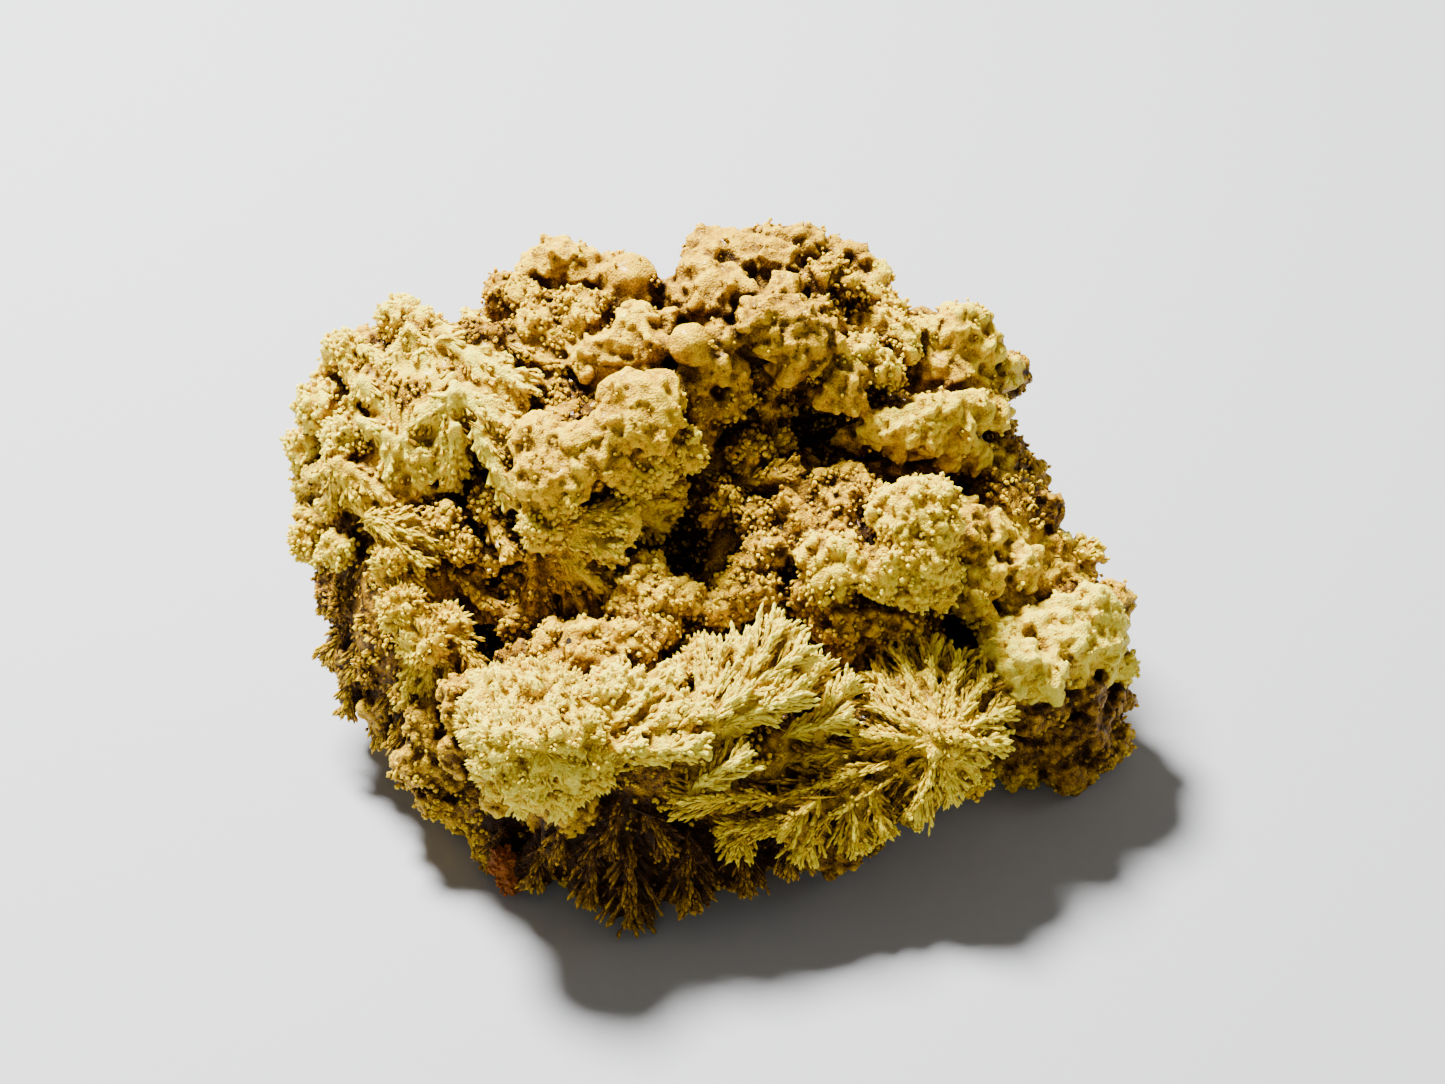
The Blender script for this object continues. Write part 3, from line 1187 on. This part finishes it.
def build_mass(growth):
    """The lumps with their pits and every ball on them, fused and cut flat at the floor."""
    lumps = np.array(LUMPS)
    still = np.zeros((len(lumps), 3))
    places, faces = balls_mesh(lumps[:, :3], lumps[:, 3:], still, 3)
    rough = mesh_object("rough_mass", from_face(places), faces.tolist())
    remesh(rough, ROUGH_VOXEL)
    sink_pits(rough.data)

    parts = (growth.middles, growth.radii, growth.leans)
    places, faces = balls_mesh(*[np.concatenate(part) for part in parts], 1)
    mass = mesh_object("crystal_mass", from_face(places), faces.tolist())
    joined = bmesh.new()
    joined.from_mesh(mass.data)
    joined.from_mesh(rough.data)
    joined.to_mesh(mass.data)
    joined.free()
    bpy.data.objects.remove(rough)
    remesh(mass, MASS_VOXEL)
    cut_flat(mass.data)
    swell_crust(mass.data, growth)
    thin_out(mass, MOST_MASS_TRIANGLES)
    mass.data.shade_smooth()
    return mass


def cut_blocks(mass):
    """Cuts the mass across into closed blocks, so that none holds too many triangles."""
    places = points_of(mass.data)[:, 0]
    ends = [-np.inf, *np.quantile(places, np.arange(1, BLOCKS) / BLOCKS), np.inf]
    blocks = []
    for number in range(BLOCKS):
        bm = bmesh.new()
        bm.from_mesh(mass.data)
        for end, way in ((ends[number], -1), (ends[number + 1], 1)):
            if np.isfinite(end):
                everything = bm.verts[:] + bm.edges[:] + bm.faces[:]
                cut = bmesh.ops.bisect_plane(
                    bm, geom=everything, dist=1e-7, plane_co=(end * MM, 0, 0), plane_no=(way, 0, 0),
                    clear_outer=True)
                rim = [item for item in cut["geom_cut"] if isinstance(item, bmesh.types.BMEdge)]
                filled = bmesh.ops.holes_fill(bm, edges=rim, sides=0)
                bmesh.ops.triangulate(bm, faces=filled["faces"])
                for edge in rim:
                    edge.smooth = False
        block = mass if number == BLOCKS - 1 else mass.copy()
        block.name = f"crystal_mass_{number + 1}"
        block.data = mass.data.copy()
        bm.to_mesh(block.data)
        bm.free()
        block.data.validate()
        if block is not mass:
            bpy.context.scene.collection.objects.link(block)
        blocks.append(block)
    return blocks


# ---------------------------------------------------------------- how the surface is coloured

SKY = even_directions(16)
SKY_REACH = 5.0  # mm: what is further away than this shades nothing
NEAR_REACH = 0.9  # mm: what is nearer than this shades fully


def exposure(points, normals, tree):
    """How open each point lies, from 0 in a deep hollow to 1 on a free edge."""
    facing = normals @ SKY.T
    result = np.zeros(len(points))
    starts = points + normals * 0.10
    sky = [Vector(way) for way in SKY]
    for i, start in enumerate(starts):
        origin = Vector(start)
        total = 0.0
        free = 0.0
        for j in np.nonzero(facing[i] > 0.05)[0]:
            weight = facing[i, j]
            total += weight
            gap = tree.ray_cast(origin, sky[j], SKY_REACH)[3]
            if gap is None:
                free += weight
            elif gap > NEAR_REACH:
                free += weight * 0.7 * (gap - NEAR_REACH) / (SKY_REACH - NEAR_REACH)
        result[i] = free / max(total, 1e-6)
    return result


def edge_share(mesh):
    """How far each point stands out from its neighbours: 1 on a sharp edge, 0 in a crease."""
    points = points_of(mesh)
    normals = read_points(mesh, "normal")
    ends = np.empty(len(mesh.edges) * 2, int)
    mesh.edges.foreach_get("vertices", ends)
    first, second = ends.reshape(-1, 2).T
    count = np.bincount(ends, minlength=len(points))
    smooth = points.copy()
    for _ in range(3):
        total = np.zeros_like(smooth)
        np.add.at(total, first, smooth[second])
        np.add.at(total, second, smooth[first])
        smooth = total / np.maximum(count, 1)[:, None]
    rise = np.sum((points - smooth) * normals, axis=1)
    return np.clip(0.5 + rise / 0.22, 0, 1)


BARE_TONE = np.array([0.66, 0.85])
HOLLOW_SHADE = 0.68  # how much darker the deepest hollow is than a free edge
EDGE_SHADE = 0.42  # how much darker a crease is than an edge


def nearest_growth(growth, points):
    """Tone and lean of what lies nearest to each point, in mm, and how bare the point is."""
    middles = from_face(np.concatenate(growth.middles))
    radii = np.concatenate(growth.radii)
    tones = np.concatenate(growth.tones)
    leans = np.concatenate(growth.leans) @ FACE_AXES
    tree = kdtree.KDTree(len(middles))
    for number, middle in enumerate(middles):
        tree.insert(middle, number)
    tree.balance()
    found_tones = np.empty((len(points), 2))
    found_leans = np.empty((len(points), 3))
    bareness = np.empty(len(points))
    for i, point in enumerate(points):
        found = tree.find_n(point, 6)
        numbers = [item[1] for item in found]
        gaps = np.array([item[2] for item in found]) - radii[numbers]
        weight = np.exp(-np.maximum(gaps, -0.3) / 0.12)
        bare = min(max((gaps.min() - 0.15) / 0.5, 0), 1)
        share = weight / weight.sum()
        found_tones[i] = (share @ tones[numbers]) * (1 - bare) + BARE_TONE * bare
        found_leans[i] = (share @ leans[numbers]) * (1 - bare)
        bareness[i] = bare
    return found_tones, found_leans, bareness


def colour_mass(mass, growth, tree):
    """Stores on the mass how dark and golden it is and how its grains lie; gives how bare it is."""
    mesh = mass.data
    points = points_of(mesh)
    openness = exposure(points, read_points(mesh, "normal"), tree)
    edges = edge_share(mesh)
    tones, leans, bareness = nearest_growth(growth, points)
    shade = tones[:, 0] + HOLLOW_SHADE * (1 - openness) ** 1.3 + EDGE_SHADE * (0.5 - edges)
    closed = openness < 0.04
    keep(mesh, "shade", shade + 0.04)
    keep(mesh, "gold", tones[:, 1])
    keep(mesh, "along", np.zeros(len(points)))
    keep(mesh, "lean", leans)
    run = np.linalg.norm(leans, axis=1)
    cover = np.clip(points[:, 2] - 0.6, 0, 1) * (0.35 + 0.65 * openness) * (0.25 + 0.75 * run)
    keep(mesh, "cover", cover * ~closed)
    return bareness


# ---------------------------------------------------------------- growing crystals


def new_tree(name, inputs):
    """An empty tree with a geometry input, named inputs of its own and a geometry output."""
    tree = bpy.data.node_groups.new(name, "GeometryNodeTree")
    tree.interface.new_socket(name="Base", in_out="INPUT", socket_type="NodeSocketGeometry")
    for label, (kind, value) in inputs.items():
        socket = tree.interface.new_socket(name=label, in_out="INPUT", socket_type=kind)
        if value is not None:
            socket.default_value = value
    tree.interface.new_socket(name="Crystals", in_out="OUTPUT", socket_type="NodeSocketGeometry")
    graph = Graph(tree)
    return tree, graph, graph.node("NodeGroupInput", {}, ())


def finish_tree(graph, given, geometry):
    """Ends a tree: its instances made real, with the finish on them."""
    real = graph.node("GeometryNodeRealizeInstances", {}, (geometry,))
    finished = graph.node("GeometryNodeSetMaterial", {}, {
        "Geometry": graph.wire(real, "Geometry"), "Material": graph.wire(given, "Finish")})
    graph.node("NodeGroupOutput", {}, (graph.wire(finished, "Geometry"),))


def bud(graph, sides, rings, shoulder):
    """A bud 1 long and 1 in radius, from its root to its tip, widest at its shoulder."""
    sphere = graph.node("GeometryNodeMeshUVSphere", {}, {"Segments": sides, "Rings": rings, "Radius": 1.0})
    position = graph.wire(graph.node("GeometryNodeInputPosition", {}, ()), 0)
    parts = graph.node("ShaderNodeSeparateXYZ", {}, (position,))
    level = graph.wire(parts, "Z")
    height = (level + level * level) * 0.5 + (1.0 - level * level) * shoulder
    place = graph.node("ShaderNodeCombineXYZ", {}, (graph.wire(parts, "X"), graph.wire(parts, "Y"), height))
    marked = graph.node("GeometryNodeStoreNamedAttribute", {"data_type": "FLOAT", "domain": "POINT"}, {
        "Geometry": graph.wire(sphere, "Mesh"), "Name": "along", "Value": height})
    shaped = graph.node("GeometryNodeSetPosition", {}, {
        "Geometry": graph.wire(marked, "Geometry"), "Position": graph.wire(place, 0)})
    return graph.wire(shaped, "Geometry")


def bud_tree():
    """Sets one bud on every guide point: a slim one is a crystal, a full one a round or a lobe."""
    tree, graph, given = new_tree("buds_on_guides", {
        "Sides": ("NodeSocketInt", 5),
        "Rings": ("NodeSocketInt", 2),
        "Shoulder": ("NodeSocketFloat", 0.8),
        "Lumps per m": ("NodeSocketFloat", 1700.0),
        "Lump Height": ("NodeSocketFloat", 0.0),
        "Smooth": ("NodeSocketBool", False),
        "Finish": ("NodeSocketMaterial", None),
    })
    shape = bud(graph, graph.wire(given, "Sides"), graph.wire(given, "Rings"), graph.wire(given, "Shoulder"))
    aim = graph.node("FunctionNodeAlignRotationToVector", {"axis": "Z"}, {
        "Vector": graph.stored("aim", "FLOAT_VECTOR")})
    spin = graph.node("ShaderNodeCombineXYZ", {}, {"Z": graph.stored("roll", "FLOAT")})
    roll = graph.node("FunctionNodeEulerToRotation", {}, (graph.wire(spin, 0),))
    turned = graph.node("FunctionNodeRotateRotation", {"rotation_space": "LOCAL"}, (
        graph.wire(aim, "Rotation"), graph.wire(roll, "Rotation")))
    width = graph.stored("radius", "FLOAT")
    size = graph.node("ShaderNodeCombineXYZ", {}, (
        width, width * graph.stored("flatness", "FLOAT"), graph.stored("length", "FLOAT")))
    instances = graph.node("GeometryNodeInstanceOnPoints", {}, {
        "Points": graph.wire(given, "Base"), "Instance": shape,
        "Rotation": graph.wire(turned, "Rotation"), "Scale": graph.wire(size, 0)})
    real = graph.node("GeometryNodeRealizeInstances", {}, (graph.wire(instances, "Instances"),))
    swell = graph.node("ShaderNodeTexNoise", {}, {"Scale": graph.wire(given, "Lumps per m"), "Detail": 1.0})
    centred = graph.node("ShaderNodeVectorMath", {"operation": "SUBTRACT"}, (
        graph.wire(swell, "Color"), (0.5, 0.5, 0.5)))
    offset = graph.node("ShaderNodeVectorMath", {"operation": "SCALE"}, {
        0: graph.wire(centred, 0), "Scale": graph.wire(given, "Lump Height")})
    lumpy = graph.node("GeometryNodeSetPosition", {}, {
        "Geometry": graph.wire(real, "Geometry"), "Offset": graph.wire(offset, 0)})
    shaded = graph.node("GeometryNodeSetShadeSmooth", {"domain": "FACE"}, {
        "Geometry": graph.wire(lumpy, "Geometry"), "Shade Smooth": graph.wire(given, "Smooth")})
    finish_tree(graph, given, graph.wire(shaded, "Geometry"))
    return tree


def grain_tree():
    """Scatters small blunt grains over a surface, leaning the way its branches run."""
    tree, graph, given = new_tree("grains_on_crust", {
        "Grains per m2": ("NodeSocketFloat", 1.0e6),
        "Smallest": ("NodeSocketFloat", 0.08 * MM),
        "Largest": ("NodeSocketFloat", 0.20 * MM),
        "Height": ("NodeSocketFloat", 2.8),
        "Shoulder": ("NodeSocketFloat", 0.6),
        "Tilt": ("NodeSocketFloat", 0.55),
        "Lean": ("NodeSocketFloat", 1.3),
        "Seed": ("NodeSocketInt", SEED),
        "Finish": ("NodeSocketMaterial", None),
    })
    density = graph.stored("cover", "FLOAT") * graph.wire(given, "Grains per m2")
    places = graph.node("GeometryNodeDistributePointsOnFaces", {"distribute_method": "RANDOM"}, {
        "Mesh": graph.wire(given, "Base"), "Density": density, "Seed": graph.wire(given, "Seed")})

    def dice(kind, low, high, salt):
        node = graph.node("FunctionNodeRandomValue", {"data_type": kind}, {"Seed": salt})
        first = 0 if kind == "FLOAT_VECTOR" else 2
        graph.feed(node.inputs[first], low)
        graph.feed(node.inputs[first + 1], high)
        return graph.wire(node, 0 if kind == "FLOAT_VECTOR" else 1)

    grain = bud(graph, 5, 2, graph.wire(given, "Shoulder"))
    tilt = graph.wire(given, "Tilt")
    most = graph.wire(graph.node("ShaderNodeCombineXYZ", {}, (tilt, tilt, tilt)), 0)
    least = graph.node("ShaderNodeVectorMath", {"operation": "SCALE"}, {0: most, "Scale": -1.0})
    stray = dice("FLOAT_VECTOR", graph.wire(least, 0), most, 3)
    flow = graph.node("ShaderNodeVectorMath", {"operation": "SCALE"}, {
        0: graph.stored("lean", "FLOAT_VECTOR"), "Scale": graph.wire(given, "Lean")})
    upright = graph.node("ShaderNodeVectorMath", {"operation": "ADD"}, (
        graph.wire(places, "Normal"), graph.wire(flow, 0)))
    aim = graph.node("ShaderNodeVectorMath", {"operation": "ADD"}, (graph.wire(upright, 0), stray))
    turned = graph.node("FunctionNodeAlignRotationToVector", {"axis": "Z"}, {
        "Vector": graph.wire(aim, 0)})
    width = dice("FLOAT", graph.wire(given, "Smallest"), graph.wire(given, "Largest"), 5)
    size = graph.node("ShaderNodeCombineXYZ", {}, (width, width, width * graph.wire(given, "Height")))
    instances = graph.node("GeometryNodeInstanceOnPoints", {}, {
        "Points": graph.wire(places, "Points"), "Instance": grain,
        "Rotation": graph.wire(turned, "Rotation"), "Scale": graph.wire(size, 0)})
    sunk = graph.node("GeometryNodeTranslateInstances", {}, {
        "Instances": graph.wire(instances, "Instances"), "Translation": (0.0, 0.0, -0.03 * MM)})
    finish_tree(graph, given, graph.wire(sunk, "Instances"))
    return tree


def run_tree(piece, tree, values):
    """Puts a piece through a tree and keeps what comes out as its plain mesh."""
    modifier = piece.modifiers.new("grow", "NODES")
    modifier.node_group = tree
    for item in tree.interface.items_tree:
        if item.name in values:
            modifier[item.identifier] = values[item.name]
    bake_modifiers(piece)
    piece.data.materials.clear()
    piece.data.materials.append(values["Finish"])


LEAST_HEIGHT = 0.12  # mm over the floor that every tip keeps
CRYSTAL_SHAPE = {"Sides": 5, "Rings": 2, "Shoulder": 0.82, "Lump Height": 0.0, "Smooth": False}
BULGE_SHAPE = {"Sides": 7, "Rings": 5, "Shoulder": 0.55, "Lump Height": 0.5 * MM, "Smooth": True}
NUB_SHAPE = {"Sides": 5, "Rings": 3, "Shoulder": 0.60, "Lump Height": 0.2 * MM, "Smooth": True}

def grow_buds(name, guides, tree, mass_tree, shape, finish):
    """One piece from its guides, without those that end inside the mass or at the floor."""
    rng = np.random.default_rng(SEED + len(name))
    roots = from_face(np.concatenate(guides.roots))
    tips = from_face(np.concatenate(guides.tips))
    radii = np.concatenate(guides.widths)
    tones = np.concatenate(guides.tones)
    standing = np.minimum(tips[:, 2], roots[:, 2]) > LEAST_HEIGHT + radii
    for number in np.nonzero(standing)[0]:
        place, normal, _, distance = mass_tree.find_nearest(tips[number])
        standing[number] = (Vector(tips[number]) - place).dot(normal) > 0
    roots, tips, radii, tones = roots[standing], tips[standing], radii[standing], tones[standing]
    ways = unit(tips - roots)
    openness = exposure(tips, ways, mass_tree)
    shade = tones[:, 0] + HOLLOW_SHADE * (1 - openness) ** 1.3 + rng.normal(0, 0.06, len(roots))

    piece = mesh_object(name, roots, [])
    mesh = piece.data
    keep(mesh, "aim", ways)
    keep(mesh, "length", np.linalg.norm(tips - roots, axis=1) * MM)
    keep(mesh, "radius", radii * MM)
    keep(mesh, "flatness", rng.uniform(0.72, 1.0, len(roots)))
    keep(mesh, "roll", rng.uniform(0, math.tau, len(roots)))
    keep(mesh, "shade", shade)
    keep(mesh, "gold", tones[:, 1] + rng.normal(0, 0.08, len(roots)))
    run_tree(piece, tree, {**shape, "Finish": finish})
    return piece


def grow_grains(name, mass, tree, values):
    """The sugary crust of small grains over one zone of the mass."""
    piece = bpy.data.objects.new(name, mass.data.copy())
    bpy.context.scene.collection.objects.link(piece)
    run_tree(piece, tree, values)
    return piece


# ---------------------------------------------------------------- stage

CAMERA_DISTANCE = 0.139
IMAGE_WIDTH = 1445
MM_PER_PIXEL = 0.055


def look_at(thing, target):
    way = Vector(target) - thing.location
    thing.rotation_euler = way.to_track_quat("-Z", "Y").to_euler()


def add_camera():
    camera = bpy.data.objects.new("camera", bpy.data.cameras.new("camera"))
    bpy.context.scene.collection.objects.link(camera)
    target = Vector((0, 0, FACE_HEIGHT * MM))
    camera.location = target + Vector(FACE_AXES[2]) * CAMERA_DISTANCE
    look_at(camera, target)
    half_width = IMAGE_WIDTH * MM_PER_PIXEL * MM / 2
    camera.data.sensor_fit = "HORIZONTAL"
    camera.data.angle = 2 * math.atan(half_width / CAMERA_DISTANCE)
    camera.data.clip_start = 0.01
    bpy.context.scene.camera = camera


def add_light(name, place, size, power):
    light = bpy.data.objects.new(name, bpy.data.lights.new(name, "AREA"))
    bpy.context.scene.collection.objects.link(light)
    light.data.shape = "DISK"
    light.data.size = size
    light.data.energy = power
    light.location = place
    look_at(light, (0, 0, 0.01))


def add_stage():
    """A pale floor, soft light from above and behind, and a weaker light in front."""
    reach = 1.5
    corners = [(-reach, -reach, 0), (reach, -reach, 0), (reach, reach, 0), (-reach, reach, 0)]
    mesh = bpy.data.meshes.new("floor")
    mesh.from_pydata(corners, [], [(0, 1, 2, 3)])
    floor = bpy.data.objects.new("floor", mesh)
    bpy.context.scene.collection.objects.link(floor)
    material = bpy.data.materials.new("pale_floor")
    material.use_nodes = True
    shader = material.node_tree.nodes["Principled BSDF"]
    shader.inputs["Base Color"].default_value = (0.36, 0.365, 0.375, 1.0)
    shader.inputs["Roughness"].default_value = 0.7
    mesh.materials.append(material)

    add_light("high_light", (-0.10, 0.14, 0.28), 0.08, 7.40)
    add_light("side_light", (0.26, 0.02, 0.16), 0.14, 0.10)
    add_light("front_light", (-0.06, -0.30, 0.16), 0.20, 0.10)
    world = bpy.data.worlds.new("room")
    world.use_nodes = True
    world.node_tree.nodes["Background"].inputs["Color"].default_value = (1.0, 0.98, 0.95, 1.0)
    world.node_tree.nodes["Background"].inputs["Strength"].default_value = 0.19
    bpy.context.scene.world = world


# ---------------------------------------------------------------- the specimen

CRYSTAL_PIECES = {
    "west": ["west_plateau", "west_edge", "west_rosette", "west_fringe", "gold_west", "west_foot"],
    "centre": [
        "fingers", "deep_centre", "east_side", "yellow_ridge", "cauliflower", "gold_centre",
        "east_mass", "amber_nose", "amber_domes", "north_west_crest", "north_crest", "north_east_edge"],
    "front": [
        "front_fan", "folded_sheaf", "east_rosette", "front_hangings", "ledge_plumes", "ledge_blob",
        "east_rim", "east_foot", "rust_patches"],
}
GRAINS_PER_MM2 = 1.3


def build_specimen():
    crust = mimetite_finish("mimetite_crust", 8500.0, 0.11 * MM)
    crystal = mimetite_finish("mimetite_crystal", 9000.0, 0.03 * MM)

    growths = {}
    for number, (name, regions) in enumerate(CRYSTAL_PIECES.items()):
        rng = np.random.default_rng(SEED + number)
        growths[name] = Growth()
        for region in regions:
            grow_region(growths[name], REGIONS[region], rng)
    growths["hidden"] = Growth()
    grow_hidden_sides(growths["hidden"], np.random.default_rng(SEED + 10))
    everything = Growth()
    for growth in growths.values():
        everything.take_balls(growth)

    mass = build_mass(everything)
    near = tree_of(mass.data)
    bare = colour_mass(mass, everything, near)
    growths["filling"] = Growth()
    fill_bare(
        growths["filling"], points_of(mass.data), read_points(mass.data, "normal"), bare,
        np.random.default_rng(SEED + 11))
    mass.data.materials.clear()
    mass.data.materials.append(crust)

    density = GRAINS_PER_MM2 / MM ** 2
    values = {"Grains per m2": density, "Smallest": 0.07 * MM, "Largest": 0.15 * MM, "Finish": crystal}
    pieces = [grow_grains("crust_grains", mass, grain_tree(), values), *cut_blocks(mass)]
    tree = bud_tree()
    for name, growth in growths.items():
        for kind, guides, shape, finish in (
                ("crystals", growth.crystals, CRYSTAL_SHAPE, crystal),
                ("bulges", growth.bulges, BULGE_SHAPE, crust),
                ("nubs", growth.nubs, NUB_SHAPE, crust)):
            if guides.roots:
                pieces.append(grow_buds(name + "_" + kind, guides, tree, near, shape, finish))

    for piece in pieces:
        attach(piece, BODY)
        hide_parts(NODE)


build_specimen()
add_stage()
add_camera()
